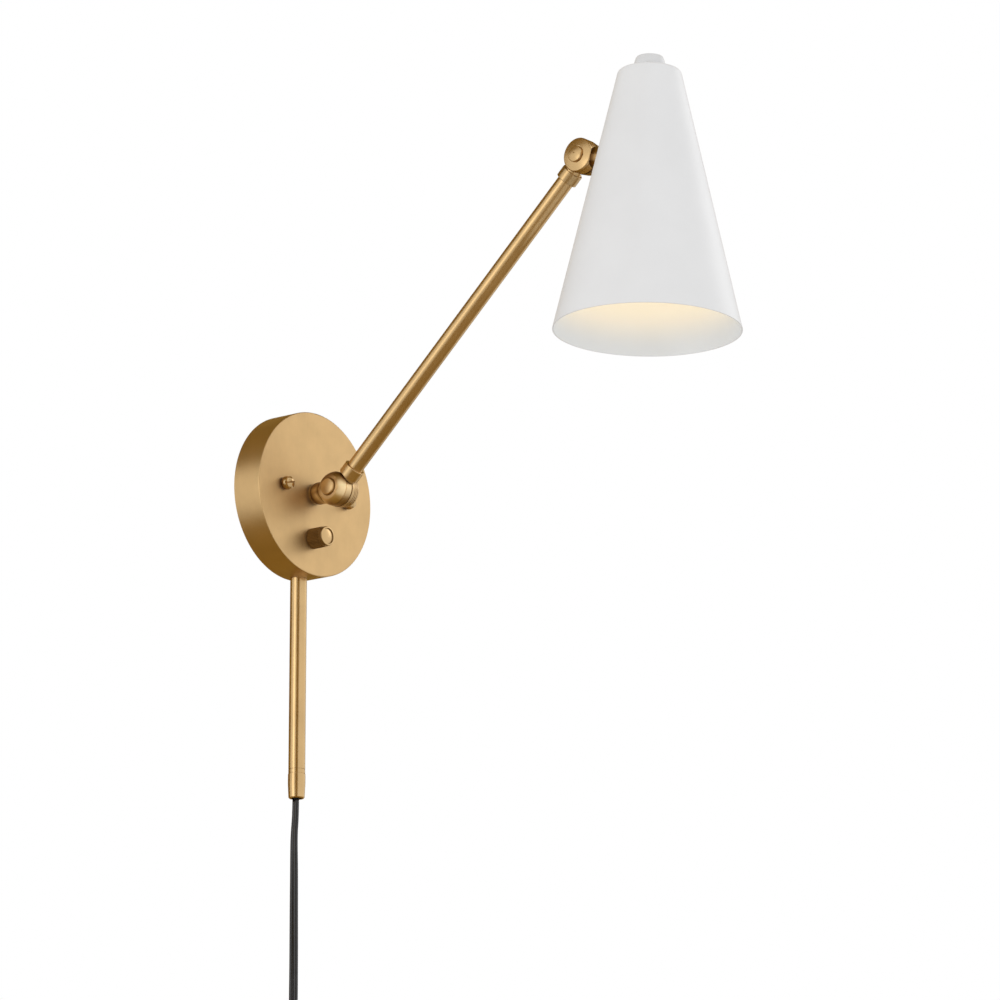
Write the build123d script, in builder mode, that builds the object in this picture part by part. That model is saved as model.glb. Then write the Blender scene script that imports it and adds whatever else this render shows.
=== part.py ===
"""Plug-in swing arm wall sconce: round canopy with a dimmer, two friction knuckles, an arm and a cone shade.

Frame: the origin is the middle of the canopy's back on the wall, +Z is up and the room lies towards -Y.
All sizes are in millimetres.
"""
import os
from math import acos, asin, atan2, ceil, cos, degrees, pi, radians, sin, sqrt, tan

from build123d import *

# Canopy
canopy_d = 127.0
canopy_depth = 25.8
canopy_wall = 1.2
canopy_edge_r = 0.9

# Fits and clearances
running_fit = 0.06
slip_fit = 0.10
face_gap = 0.10
saddle_gap = 0.40

# Threaded lamp pipe and its nuts
pipe_d = 9.8
pipe_bore = 8.0
nut_flats = 14.0
nut_t = 4.5
washer_d = 18.0
washer_t = 0.9

# Wall plate and canopy screws
plate_t = 2.0
plate_bar = 14.0
plate_height = 102.0
screw_points = [(-35.2, 2.0), (35.2, -0.6)]
screw_d = 4.0
screw_head_d = 10.4
screw_bead_h = 4.6
screw_tip_d = 8.8
screw_head_h = 7.8
screw_slot_w = 1.3
screw_slot_turn = 13.6
slot_spacing = 79.4
slot_travel = 9.6
slot_w = 5.0

# Knuckles
knuckle_d = 26.0
knuckle_half_t = 9.4
knuckle_left = 9.0
ring_t = 1.2
ring_w = 2.4
knuckle_edge_r = 0.9
knuckle_crown_h = 1.3
knuckle_seat_d = 13.6
knuckle_taper = 1.2
knuckle_end_r = 1.6
knuckle_groove_w = 0.45
knuckle_groove_depth = 0.3
knuckle_grooves = {-1: [6.0], 1: [3.5, 5.3, 7.1]}
knuckle_core_d = 9.0
knuckle_cavity_d = 18.4
knuckle_cavity_t = 6.0
bolt_d = 6.0
button_d = 12.4
button_rim = 1.2
button_edge_r = 0.7
button_h = 2.6
boss_d = 16.2
post_d = 17.2
post_foot_d = 15.6
post_foot_round = 3.2
post_half_t = 11.9
post_crown_h = 5.6
post_seat_d = 18.9
pipe_end_gap = 1.0
bush_flange = 1.0
bush_sleeve_t = 1.1

# Arm, and how far the post is turned as the lamp hangs, in degrees
pivot_depth = 48.9
swivel_turn = 1.4
arm_angle = 42.75
arm_length = 320.8
tube_d = 12.7
tube_wall = 1.2
neck_d = 14.2
neck_length = 1.1
collar_d = 16.4
collar_length = 8.6
collar_lip = 0.45
collar_step = 1.4
spigot_length = 15.0
lead_d = 4.2

# Shade: the stem meets its wall squarely, that far up the wall from the rim
stem_length = 25.1
stem_up = 142.3
shade_rim_d = 138.3
shade_top_d = 46.6
shade_h = 197.8
shade_wall = 1.0
shade_shoulder_r = 3.0
cap_d = 22.6
cap_h = 12.0

# Lamp holder and bulb
holder_cap_d = 34.0
holder_cap_h = 23.0
holder_cap_wall = 1.0
holder_body_h = 37.0
holder_floor_t = 6.0
shell_wall = 0.6
bulb_base_d = 26.4
bulb_base_h = 23.0
bulb_tip_h = 4.3
bulb_globe_d = 60.0
bulb_length = 82.0
bulb_glass_t = 0.9

# Dimmer
dimmer_x = -3.0
dimmer_z = -35.3
dimmer_body = 24.0
dimmer_bush_d = 7.0
dimmer_shaft_d = 6.0
dimmer_nut_flats = 10.0
dimmer_nut_t = 2.0
dimmer_back = 6.0
knob_d = 15.8
knob_length = 15.2
knob_ridges = 40
knob_ridge_depth = 0.4
knob_head = 3.2
knob_edge_r = 0.9
knob_rim_w = 0.4
knob_dish = 0.8
knob_crown = 0.9

# Cord tube under the canopy
drop_y = -9.0
drop_d = 12.7
drop_wall = 1.0
drop_end_z = -210.6
ferrule_band = 3.2
ferrule_length = 22.4
ferrule_d = 13.2
ferrule_mouth_d = 12.2
groove_depth = 0.4
groove_w = 0.6
bush_length = 8.5

# Flat twin cord and its coil
cord_w = 7.1
cord_t = 3.6
cord_length = 1800.0
coil_outer_r = 47.8
coil_pitch = 4.8
coil_layer = 7.8
coil_turns = 6.0
coil_entry_bend_r = 30.0
coil_exit_angle = 50.0
coil_exit_run = 18.0
coil_exit_bend_r = 32.0
coil_end_run = 10.0
cord_start = (-0.8, -233.0)
cord_exit_turn = 70.0
cord_points = [(-0.8, -246.0), (-2.4, -262.0), (-1.9, -286.0), (-1.7, -320.0), (-1.3, -356.0), (-1.3, -392.0)]
tie_w = 9.0
tie_t = 1.0
tie_gap = 0.5

# Plug
plug_relief_l = 22.0
plug_body_l = 30.0
plug_body_w = 26.0
plug_body_t = 15.0
blade_l = 17.5
blade_w = 6.3
blade_t = 1.5
blade_spacing = 12.7

# Places worked out from the sizes above
knuckle_r = knuckle_d / 2
seam_left = knuckle_half_t - knuckle_left
seam_right = seam_left + ring_t
knuckle_right = seam_right + knuckle_half_t
post_left = post_half_t - seam_left
neck_end = knuckle_r + neck_length
canopy_r = canopy_d / 2
canopy_inside = canopy_depth - canopy_wall
arm_dir = Vector(0, -cos(radians(arm_angle)), sin(radians(arm_angle)))
low_pivot = Vector(0, -pivot_depth, 0)
high_pivot = low_pivot + arm_dir * arm_length
shade_angle = atan2((shade_rim_d - shade_top_d) / 2, shade_h)
shade_wall_dir = Vector(0, -cos(shade_angle), -sin(shade_angle))
shade_wall_up = Vector(0, -sin(shade_angle), cos(shade_angle))
rim_back = high_pivot + shade_wall_dir * stem_length - shade_wall_up * stem_up
shade_reach = shade_rim_d / 2 - rim_back.Y
shade_rim_z = rim_back.Z
shade_top_z = shade_rim_z + shade_h
holder_top_z = shade_top_z - shade_wall - face_gap
holder_body_d = holder_cap_d - 2 * holder_cap_wall - 2 * slip_fit
holder_body_top = holder_top_z - holder_cap_h + 3.0
holder_body_low = holder_body_top - holder_body_h
contact_z = holder_body_top - holder_floor_t
contact_h = 3.4
shell_bore_d = bulb_base_d + 0.5
bulb_tip_z = contact_z - contact_h - face_gap
bulb_neck_z = bulb_tip_z - bulb_tip_h - bulb_base_h
bulb_globe_z = bulb_neck_z - bulb_length + bulb_globe_d / 2

os.makedirs("parts", exist_ok=True)


def save(builder, name, swings=False):
    """Labels a finished piece, turned with the post if it swings, and writes its file."""
    part = builder.part.rotate(Axis.Y, swivel_turn) if swings else builder.part
    part.label = name
    export_step(part, f"parts/{name}.step")


def face_plane(depth, x=0.0, z=0.0):
    """A plane parallel to the wall, that far into the room, facing the room."""
    return Plane(origin=(x, -depth, z), x_dir=(1, 0, 0), z_dir=(0, -1, 0))


def along(origin, direction):
    """A plane square to a direction in the arm's plane."""
    return Plane(origin=origin, x_dir=(1, 0, 0), z_dir=direction)


def side_plane(pivot, x):
    """A plane square to the X axis through a pivot."""
    return Plane(origin=(x, pivot.Y, pivot.Z), x_dir=(0, 1, 0), z_dir=(1, 0, 0))


def ring_on(plane, outer_d, inner_d, length):
    """A plain ring or tube that starts on a plane."""
    with BuildPart() as ring:
        with BuildSketch(plane):
            Circle(outer_d / 2)
            Circle(inner_d / 2, mode=Mode.SUBTRACT)
        extrude(amount=length)
    return ring


def hex_nut(plane, flats, bore, thickness):
    """A chamfer-free hexagon nut that starts on a plane."""
    with BuildPart() as nut:
        with BuildSketch(plane):
            RegularPolygon(flats / 2, 6, major_radius=False)
            Circle(bore / 2, mode=Mode.SUBTRACT)
        extrude(amount=thickness)
    return nut


def button_plane(pivot, x, side):
    """Plane for a button's outline: across is +Y, up is away from the knuckle."""
    return Plane(origin=(x, pivot.Y, pivot.Z), x_dir=(0, 1, 0), z_dir=(0, 0, -side))


def crowned_drum(pivot, half_t, crown_h, seat_d, edge_r):
    """Left drum of a knuckle, its end part of a ball, with a flat seat for the button."""
    plane = button_plane(pivot, seam_left, -1)
    low = half_t - crown_h
    seat_r = seat_d / 2
    edge_x = knuckle_r - edge_r
    centre = (seat_r**2 + half_t**2 - knuckle_r**2 - low**2) / (2 * crown_h)
    ball_r = sqrt(knuckle_r**2 + (low - centre) ** 2)
    edge_lean = asin(edge_x / ball_r)
    lean = (edge_lean + asin(seat_r / ball_r)) / 2
    with BuildPart() as drum:
        with BuildSketch(plane):
            with BuildLine():
                wall = Polyline((0, 0), (knuckle_r, 0), (knuckle_r, low - edge_r))
                rim = wall @ 1
                if edge_r:
                    bend = (knuckle_r - 0.27 * edge_r, low - 0.2 * edge_r)
                    rim = ThreePointArc(rim, bend, (edge_x, centre + ball_r * cos(edge_lean))) @ 1
                middle = (ball_r * sin(lean), centre + ball_r * cos(lean))
                crown = ThreePointArc(rim, middle, (seat_r, half_t))
                Polyline(crown @ 1, (0, half_t), wall @ 0)
            make_face()
        revolve(axis=Axis(plane.origin, plane.y_dir))
    return drum


def tapered_drum(pivot):
    """Right drum of a knuckle, a little narrower at its rounded end."""
    plane = button_plane(pivot, seam_right, 1)
    end_r = knuckle_r - knuckle_taper
    low = knuckle_half_t - knuckle_end_r
    bend = knuckle_end_r * sqrt(0.5)
    with BuildPart() as drum:
        with BuildSketch(plane):
            with BuildLine():
                wall = Polyline((0, 0), (knuckle_r, 0), (end_r, low))
                edge = ThreePointArc(wall @ 1, (end_r - knuckle_end_r + bend, low + bend),
                                     (end_r - knuckle_end_r, knuckle_half_t))
                Polyline(edge @ 1, (0, knuckle_half_t), wall @ 0)
            make_face()
        revolve(axis=Axis(plane.origin, plane.y_dir))
    return drum


def knuckle_half(pivot, side, drum, boss_dir, boss_length, boss_diameter, bore):
    """Half of a friction knuckle: a hollow drum beside the seam, with a boss that reaches across it."""
    seam = seam_left if side < 0 else seam_right
    face = side_plane(pivot, seam)
    taper = knuckle_taper / (knuckle_half_t - knuckle_end_r) if side > 0 else 0.0
    with BuildPart() as half:
        add(drum.part)
        for place in knuckle_grooves[side]:
            with BuildSketch(side_plane(pivot, seam + side * place)):
                Circle(knuckle_d)
                Circle(knuckle_r - taper * place - knuckle_groove_depth, mode=Mode.SUBTRACT)
            extrude(amount=-side * knuckle_groove_w, mode=Mode.SUBTRACT)
        with BuildSketch(along(pivot, boss_dir)):
            Circle(boss_diameter / 2)
        extrude(amount=boss_length)
        with BuildSketch(face):
            Circle(knuckle_r + saddle_gap)
        extrude(amount=-side * 2 * knuckle_d, mode=Mode.SUBTRACT)
        with BuildSketch(face):
            Circle(knuckle_cavity_d / 2)
            Circle(knuckle_core_d / 2, mode=Mode.SUBTRACT)
        extrude(amount=side * knuckle_cavity_t, mode=Mode.SUBTRACT)
        with BuildSketch(face):
            Circle(bolt_d / 2 + running_fit)
        extrude(amount=side * (knuckle_half_t + post_half_t), mode=Mode.SUBTRACT)
        with BuildSketch(along(pivot + boss_dir * (knuckle_core_d / 2 + 0.5), boss_dir)):
            Circle(bore / 2)
        extrude(amount=boss_length, mode=Mode.SUBTRACT)
    return half


def dome_arc(radius, low, top):
    """Arc of a ball centred on the axis, from a rim of that radius at one height up to the axis."""
    rise = top - low
    ball_r = (radius * radius + rise * rise) / (2 * rise)
    lean = atan2(radius, ball_r - rise) / 2
    middle = (ball_r * sin(lean), top - ball_r + ball_r * cos(lean))
    return ThreePointArc((radius, low), middle, (0, top))


def button_profile():
    """Half outline of a domed button: radius across, height up."""
    with BuildLine() as outline:
        rim = Line((button_d / 2, 0), (button_d / 2, button_rim))
        edge_x = button_d / 2 - button_edge_r
        bend = button_edge_r * sqrt(0.5)
        ThreePointArc(rim @ 1, (edge_x + bend, button_rim + bend), (edge_x, button_rim + button_edge_r))
        dome = dome_arc(edge_x, button_rim + button_edge_r, button_h)
        Polyline(dome @ 1, (0, 0), rim @ 0)
    return outline


def pivot_bolt(pivot, left):
    """Shoulder bolt with a domed head on the left of the knuckle, that far from its middle."""
    head = button_plane(pivot, -left - face_gap, -1)
    with BuildPart() as bolt:
        with BuildSketch(head):
            add(button_profile().line)
            make_face()
        revolve(axis=Axis(head.origin, head.y_dir))
        with BuildSketch(side_plane(pivot, -left - face_gap)):
            Circle(bolt_d / 2)
        extrude(amount=left + knuckle_right + face_gap + button_rim)
    return bolt


def cap_nut(pivot):
    """Domed cap nut on the right end of the pivot bolt."""
    seat = button_plane(pivot, knuckle_right + face_gap, 1)
    with BuildPart() as nut:
        with BuildSketch(seat):
            add(button_profile().line)
            make_face()
        revolve(axis=Axis(seat.origin, seat.y_dir))
        with BuildSketch(side_plane(pivot, knuckle_right)):
            Circle(bolt_d / 2 + slip_fit)
        extrude(amount=button_rim + face_gap, mode=Mode.SUBTRACT)
    return nut


def friction_ring(pivot):
    """Fibre ring between the two halves of a knuckle."""
    plane = side_plane(pivot, seam_left + face_gap)
    return ring_on(plane, knuckle_d - 1.0, knuckle_d - 1.0 - 2 * ring_w, ring_t - 2 * face_gap)


# Canopy: a spun cup, open to the wall
with BuildPart() as canopy:
    with BuildSketch(face_plane(0)):
        Circle(canopy_r)
    extrude(amount=canopy_depth)
    fillet(canopy.edges().sort_by(Axis.Y)[0], canopy_edge_r)
    offset(amount=-canopy_wall, openings=canopy.faces().sort_by(Axis.Y)[-1])
    with BuildSketch(face_plane(canopy_inside - canopy_wall)):
        Circle(pipe_d / 2 + bush_sleeve_t + slip_fit)
        with Locations(*screw_points):
            Circle(screw_d / 2 + 0.3)
        with Locations((dimmer_x, dimmer_z)):
            Circle(dimmer_bush_d / 2 + slip_fit)
    extrude(amount=4 * canopy_wall, mode=Mode.SUBTRACT)
    with BuildSketch(Plane.XY.offset(-canopy_r - canopy_wall)):
        with Locations((0, drop_y)):
            Circle(pipe_d / 2 + slip_fit)
    extrude(amount=4 * canopy_wall, mode=Mode.SUBTRACT)
save(canopy, "canopy")

# Wall plate: a cross with slots for the wall box and tapped holes for the canopy screws
with BuildPart() as wall_plate:
    with BuildSketch(face_plane(0)):
        Rectangle(screw_points[1][0] - screw_points[0][0] + plate_bar, plate_bar)
        Rectangle(plate_bar, plate_height)
        Circle(plate_bar)
        with Locations((0, slot_spacing / 2), (0, -slot_spacing / 2)):
            SlotCenterToCenter(slot_travel, slot_w, rotation=90, mode=Mode.SUBTRACT)
        with Locations(*screw_points):
            Circle(screw_d / 2 + slip_fit, mode=Mode.SUBTRACT)
    extrude(amount=plate_t)
save(wall_plate, "wall_plate")

# Two slotted canopy screws
with BuildPart() as canopy_screws:
    for x, z in screw_points:
        head = Plane(origin=(x, -canopy_depth - face_gap, z), x_dir=(1, 0, 0), z_dir=(0, 0, -1))
        with BuildSketch(head):
            with BuildLine():
                base = Line((0, 0), (screw_head_d / 2 - 0.9, 0))
                ThreePointArc(base @ 1, (screw_head_d / 2, screw_bead_h / 2), (screw_tip_d / 2, screw_bead_h))
                tip = Line((screw_tip_d / 2, screw_bead_h), (screw_tip_d / 2, screw_head_h - 1.7))
                top = dome_arc(screw_tip_d / 2, screw_head_h - 1.7, screw_head_h)
                Line(top @ 1, base @ 0)
            make_face()
        revolve(axis=Axis(head.origin, (0, -1, 0)))
        with BuildSketch(face_plane(canopy_depth + screw_head_h - 1.6, x, z)):
            Rectangle(screw_head_d + 1, screw_slot_w, rotation=screw_slot_turn)
        extrude(amount=2.5, mode=Mode.SUBTRACT)
        with BuildSketch(face_plane(0.3, x, z)):
            Circle(screw_d / 2)
        extrude(amount=canopy_depth + 1.0)
save(canopy_screws, "canopy_screws")

# Swivel bush in the middle of the canopy
with BuildPart() as swivel_bush:
    with BuildSketch(face_plane(canopy_depth)):
        Circle(post_foot_d / 2 - 0.2)
    extrude(amount=bush_flange)
    with BuildSketch(face_plane(canopy_inside)):
        Circle(pipe_d / 2 + bush_sleeve_t)
    extrude(amount=canopy_wall)
    with BuildSketch(face_plane(canopy_inside)):
        Circle(pipe_d / 2 + running_fit)
    extrude(amount=canopy_wall + bush_flange, mode=Mode.SUBTRACT)
save(swivel_bush, "swivel_bush")

# Swivel: pipe, washer and nut hold the post in the bush
post_foot = canopy_depth + bush_flange + face_gap
pipe_back = canopy_inside - washer_t - nut_t - 4.0
pipe_front = pivot_depth - knuckle_r - pipe_end_gap
swivel_pipe = ring_on(face_plane(pipe_back), pipe_d, pipe_bore, pipe_front - pipe_back)
save(swivel_pipe, "swivel_pipe", swings=True)
nut_bore = pipe_d + 2 * slip_fit
swivel_washer = ring_on(face_plane(canopy_inside - face_gap - washer_t), washer_d, nut_bore, washer_t)
save(swivel_washer, "swivel_washer", swings=True)
swivel_nut = hex_nut(face_plane(canopy_inside - washer_t - face_gap - nut_t), nut_flats, nut_bore, nut_t)
save(swivel_nut, "swivel_nut", swings=True)

# Post with the fixed half of the lower knuckle
to_wall = Vector(0, 1, 0)
with BuildPart() as post_knuckle:
    post_drum = crowned_drum(low_pivot, post_half_t, post_crown_h, post_seat_d, 0.0)
    add(knuckle_half(low_pivot, -1, post_drum, to_wall, pivot_depth - post_foot, post_d, pipe_bore).part)
    with BuildSketch(Plane(origin=(0, -post_foot, 0), x_dir=(1, 0, 0), z_dir=(0, 0, -1))):
        with BuildLine():
            bend = (post_foot_d / 2 + 0.65 * (post_d - post_foot_d) / 2, 0.38 * post_foot_round)
            swell = ThreePointArc((post_foot_d / 2, 0), bend, (post_d / 2, post_foot_round))
            Polyline(swell @ 1, (post_d, post_foot_round), (post_d, 0), swell @ 0)
        make_face()
    revolve(axis=Axis((0, -post_foot, 0), (0, -1, 0)), mode=Mode.SUBTRACT)
    with BuildSketch(face_plane(post_foot)):
        Circle(pipe_d / 2 + slip_fit)
    extrude(amount=pipe_front - post_foot + face_gap, mode=Mode.SUBTRACT)
save(post_knuckle, "post_knuckle", swings=True)
lower_pivot_bolt = pivot_bolt(low_pivot, post_left)
save(lower_pivot_bolt, "lower_pivot_bolt", swings=True)
lower_cap_nut = cap_nut(low_pivot)
save(lower_cap_nut, "lower_cap_nut", swings=True)
lower_friction_ring = friction_ring(low_pivot)
save(lower_friction_ring, "lower_friction_ring", swings=True)


def arm_end(pivot, side, drum, direction):
    """Knuckle half with the neck and the spigot that goes into the arm tube."""
    with BuildPart() as half:
        add(knuckle_half(pivot, side, drum, direction, neck_end, neck_d, lead_d + 0.6).part)
        with BuildSketch(along(pivot + direction * neck_end, direction)):
            Circle(tube_d / 2 - tube_wall - slip_fit)
            Circle(lead_d / 2 + 0.3, mode=Mode.SUBTRACT)
        extrude(amount=spigot_length)
    return half


def arm_collar(pivot, direction):
    """Collar that covers the joint of neck and tube, with a lip over the neck's end."""
    with BuildPart() as collar:
        with BuildSketch(along(pivot + direction * (neck_end - collar_lip), direction)):
            Circle(collar_d / 2)
        extrude(amount=collar_length)
        fillet(collar.edges().filter_by(GeomType.CIRCLE), 0.4)
        with BuildSketch(along(pivot + direction * (neck_end - collar_lip), direction)):
            Circle(neck_d / 2 + slip_fit)
        extrude(amount=collar_lip + face_gap, mode=Mode.SUBTRACT)
        with BuildSketch(along(pivot + direction * neck_end, direction)):
            Circle(tube_d / 2 - tube_wall)
        extrude(amount=collar_length + 1, mode=Mode.SUBTRACT)
        with BuildSketch(along(pivot + direction * (neck_end + collar_step), direction)):
            Circle(tube_d / 2 + slip_fit)
        extrude(amount=collar_length + 1, mode=Mode.SUBTRACT)
    return collar


# Arm: a knuckle half at each end, two collars, the tube and the lead inside it
lower_arm_knuckle = arm_end(low_pivot, 1, tapered_drum(low_pivot), arm_dir)
save(lower_arm_knuckle, "lower_arm_knuckle", swings=True)
arm_drum = crowned_drum(high_pivot, knuckle_half_t, knuckle_crown_h, knuckle_seat_d, knuckle_edge_r)
upper_arm_knuckle = arm_end(high_pivot, -1, arm_drum, arm_dir * -1)
save(upper_arm_knuckle, "upper_arm_knuckle", swings=True)
lower_collar = arm_collar(low_pivot, arm_dir)
save(lower_collar, "lower_collar", swings=True)
upper_collar = arm_collar(high_pivot, arm_dir * -1)
save(upper_collar, "upper_collar", swings=True)
tube_inset = neck_end + collar_step + face_gap
arm_tube = ring_on(along(low_pivot + arm_dir * tube_inset, arm_dir), tube_d, tube_d - 2 * tube_wall,
                   arm_length - 2 * tube_inset)
save(arm_tube, "arm_tube", swings=True)
with BuildPart() as arm_lead:
    with BuildSketch(along(low_pivot + arm_dir * neck_end, arm_dir)):
        Circle(lead_d / 2)
    extrude(amount=arm_length - 2 * neck_end)
save(arm_lead, "arm_lead", swings=True)

# Shade: a thin cone with a flat top
shade_plane = face_plane(shade_reach)
shade_axis = Axis((0, -shade_reach, 0), (0, 0, 1))


def shade_solid(inset, shoulder_r):
    """The cone's outside, or a cone that far inside it, reaching down past the rim when it is inset."""
    low_z = shade_rim_z - (5.0 if inset else 0.0)
    top_z = shade_top_z - inset
    slope = tan(shade_angle)
    rim_r = shade_rim_d / 2 + (shade_rim_z - low_z) * slope - inset / cos(shade_angle)
    top_r = shade_top_d / 2 + inset * slope - inset / cos(shade_angle)
    with BuildPart() as cone:
        with BuildSketch(shade_plane):
            with BuildLine():
                Polyline((0, low_z), (rim_r, low_z), (top_r, top_z), (0, top_z), close=True)
            make_face()
        revolve(axis=shade_axis)
        fillet(cone.edges().filter_by(GeomType.CIRCLE).sort_by(Axis.Z)[-1], shoulder_r)
    return cone


shade_outside = shade_solid(0.0, shade_shoulder_r)
shade_inside = shade_solid(shade_wall, shade_shoulder_r - shade_wall)
with BuildPart() as shade:
    add(shade_outside.part)
    add(shade_inside.part, mode=Mode.SUBTRACT)
    with BuildSketch(Plane.XY.offset(shade_top_z - 2 * shade_wall)):
        with Locations((0, -shade_reach)):
            Circle(pipe_d / 2 + slip_fit)
    extrude(amount=4 * shade_wall, mode=Mode.SUBTRACT)
    with BuildSketch(along(high_pivot + shade_wall_dir * (stem_length - 3.0), shade_wall_dir)):
        Circle(pipe_d / 2 + slip_fit)
    extrude(amount=6.0, mode=Mode.SUBTRACT)
save(shade, "shade", swings=True)

# Head knuckle: the moving half of the upper knuckle, its boss saddled to the shade
clear_cone = shade_solid(-face_gap, shade_shoulder_r)
head_pipe_start = stem_length - 9.0
with BuildPart() as head_knuckle:
    head_drum = tapered_drum(high_pivot)
    add(knuckle_half(high_pivot, 1, head_drum, shade_wall_dir, stem_length + 1.5, boss_d, pipe_bore).part)
    add(clear_cone.part, mode=Mode.SUBTRACT)
    with BuildSketch(along(high_pivot + shade_wall_dir * head_pipe_start, shade_wall_dir)):
        Circle(pipe_d / 2 + slip_fit)
    extrude(amount=stem_length, mode=Mode.SUBTRACT)
save(head_knuckle, "head_knuckle", swings=True)
upper_pivot_bolt = pivot_bolt(high_pivot, knuckle_left)
save(upper_pivot_bolt, "upper_pivot_bolt", swings=True)
upper_cap_nut = cap_nut(high_pivot)
save(upper_cap_nut, "upper_cap_nut", swings=True)
upper_friction_ring = friction_ring(high_pivot)
save(upper_friction_ring, "upper_friction_ring", swings=True)

# Inside the shade the head pipe carries a saddle washer and a nut
saddle_t = 3.6
nut_seat = stem_length + shade_wall + saddle_t
with BuildPart() as saddle_washer:
    with BuildSketch(along(high_pivot + shade_wall_dir * (stem_length + 0.2), shade_wall_dir)):
        Circle(washer_d / 2)
        Circle(pipe_d / 2 + slip_fit, mode=Mode.SUBTRACT)
    extrude(amount=nut_seat - stem_length - 0.2)
    add(shade_solid(shade_wall + face_gap, shade_shoulder_r - shade_wall).part, mode=Mode.INTERSECT)
save(saddle_washer, "saddle_washer", swings=True)
nut_plane = along(high_pivot + shade_wall_dir * (nut_seat + face_gap), shade_wall_dir)
shade_nut = hex_nut(nut_plane, nut_flats, nut_bore, nut_t)
save(shade_nut, "shade_nut", swings=True)
pipe_plane = along(high_pivot + shade_wall_dir * (head_pipe_start + face_gap), shade_wall_dir)
head_pipe_end = nut_seat + nut_t + 2.0
head_pipe = ring_on(pipe_plane, pipe_d, pipe_bore, head_pipe_end - head_pipe_start)
save(head_pipe, "head_pipe", swings=True)

# Cap on the shade, with the pipe and nut that hang the lamp holder
with BuildPart() as shade_cap:
    with BuildSketch(shade_plane):
        with BuildLine():
            low = Line((0, shade_top_z + face_gap), (cap_d / 2 - 1.4, shade_top_z + face_gap))
            side = ThreePointArc(low @ 1, (cap_d / 2, shade_top_z + cap_h * 0.55),
                                 (cap_d / 2 - 1.6, shade_top_z + cap_h - 1.0))
            top = dome_arc(cap_d / 2 - 1.6, shade_top_z + cap_h - 1.0, shade_top_z + cap_h)
            Line(top @ 1, low @ 0)
        make_face()
    revolve(axis=shade_axis)
    with BuildSketch(Plane.XY.offset(shade_top_z)):
        with Locations((0, -shade_reach)):
            Circle(pipe_d / 2 + slip_fit)
    extrude(amount=cap_h - 4.0, mode=Mode.SUBTRACT)
save(shade_cap, "shade_cap", swings=True)


def shade_level(z):
    """A level plane on the shade's axis."""
    return Plane.XY.offset(z).shift_origin((0, -shade_reach, z))


holder_pipe_low = holder_top_z - holder_cap_wall - nut_t - 3.0
holder_pipe_top = shade_top_z + cap_h - 4.5
holder_pipe = ring_on(shade_level(holder_pipe_low), pipe_d, pipe_bore, holder_pipe_top - holder_pipe_low)
save(holder_pipe, "holder_pipe", swings=True)
holder_nut_z = holder_top_z - holder_cap_wall - face_gap - nut_t
holder_nut = hex_nut(shade_level(holder_nut_z), nut_flats, nut_bore, nut_t)
save(holder_nut, "holder_nut", swings=True)
with BuildPart() as holder_cap:
    with BuildSketch(shade_level(holder_top_z)):
        Circle(holder_cap_d / 2)
    extrude(amount=-holder_cap_h)
    fillet(holder_cap.edges().sort_by(Axis.Z)[-1], 2.0)
    with BuildSketch(shade_level(holder_top_z - holder_cap_h)):
        Circle(holder_cap_d / 2 - holder_cap_wall)
    extrude(amount=holder_cap_h - holder_cap_wall, mode=Mode.SUBTRACT)
    with BuildSketch(shade_level(holder_top_z)):
        Circle(pipe_d / 2 + slip_fit)
    extrude(amount=-2 * holder_cap_wall, mode=Mode.SUBTRACT)
    with BuildSketch(face_plane(shade_reach - holder_cap_d, 0, holder_top_z - 9.0)):
        Circle(lead_d / 2 + 0.3)
    extrude(amount=holder_cap_d, mode=Mode.SUBTRACT)
save(holder_cap, "holder_cap", swings=True)

# Lamp holder body, screw shell and contact
with BuildPart() as holder_body:
    with BuildSketch(shade_level(holder_body_low)):
        Circle(holder_body_d / 2)
    extrude(amount=holder_body_h)
    with BuildSketch(shade_level(holder_body_low)):
        Circle(shell_bore_d / 2 + shell_wall + slip_fit)
    extrude(amount=holder_body_h - holder_floor_t, mode=Mode.SUBTRACT)
save(holder_body, "holder_body", swings=True)
screw_shell = ring_on(shade_level(holder_body_low + 1.0), shell_bore_d + 2 * shell_wall, shell_bore_d,
                      holder_body_h - holder_floor_t - 1.0)
save(screw_shell, "screw_shell", swings=True)
with BuildPart() as centre_contact:
    with BuildSketch(shade_level(contact_z)):
        Circle(4.0)
    extrude(amount=-contact_h)
    fillet(centre_contact.edges().sort_by(Axis.Z)[0], 1.2)
save(centre_contact, "centre_contact", swings=True)

# Bulb: screw base and globe
with BuildPart() as bulb_base:
    with BuildSketch(shade_level(bulb_neck_z)):
        Circle(bulb_base_d / 2)
    extrude(amount=bulb_base_h)
    fillet(bulb_base.edges().sort_by(Axis.Z)[-1], 3.0)
    with BuildSketch(shade_level(bulb_neck_z + bulb_base_h)):
        Circle(5.0)
    extrude(amount=bulb_tip_h, taper=15)
save(bulb_base, "bulb_base", swings=True)


def bulb_solid(inset):
    """Globe with a neck tangent to it, or the same shape that far inside."""
    globe_r = bulb_globe_d / 2 - inset
    neck_r = bulb_base_d / 2 - 0.4 - inset
    rise = bulb_neck_z - face_gap - bulb_globe_z
    reach = sqrt(neck_r**2 + rise**2)
    touch = atan2(rise, neck_r) - acos(globe_r / reach)
    with BuildPart() as globe:
        with BuildSketch(shade_plane):
            with BuildLine():
                start = (neck_r, bulb_globe_z + rise)
                meet = (globe_r * cos(touch), bulb_globe_z + globe_r * sin(touch))
                Line(start, meet)
                ThreePointArc(meet, (globe_r * cos(-pi / 5), bulb_globe_z + globe_r * sin(-pi / 5)),
                              (0, bulb_globe_z - globe_r))
                Polyline((0, bulb_globe_z - globe_r), (0, bulb_globe_z + rise), start)
            make_face()
        revolve(axis=shade_axis)
    return globe


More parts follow.
